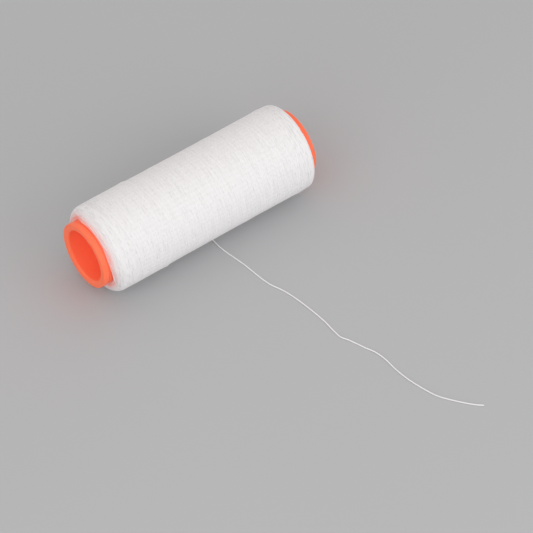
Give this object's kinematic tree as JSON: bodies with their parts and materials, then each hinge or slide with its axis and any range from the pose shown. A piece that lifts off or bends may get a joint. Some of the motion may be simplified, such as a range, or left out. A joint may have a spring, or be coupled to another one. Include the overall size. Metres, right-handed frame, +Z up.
{
  "type": "string reel",
  "caption": "Racket string cross-wound in a cylinder on an open plastic tube with lipped ends, lying on its side with the loose end drawn out.",
  "frame": {"origin": "on the table, straight below the middle of the winding tube", "axes": "+X along the tube, towards the end with the shorter bare collar; +Z up; the loose end of the string runs out towards -Y"},
  "size_m": [0.17, 0.2621, 0.0612],
  "materials": {
    "orange_plastic": "satin moulded, slightly translucent",
    "white_string": "smooth twisted synthetic string with a soft sheen"
  },
  "bodies": {
    "root": {"winding_tube": "orange_plastic", "string_winding": "white_string", "string_tail": "white_string"}
  },
  "joints": []
}
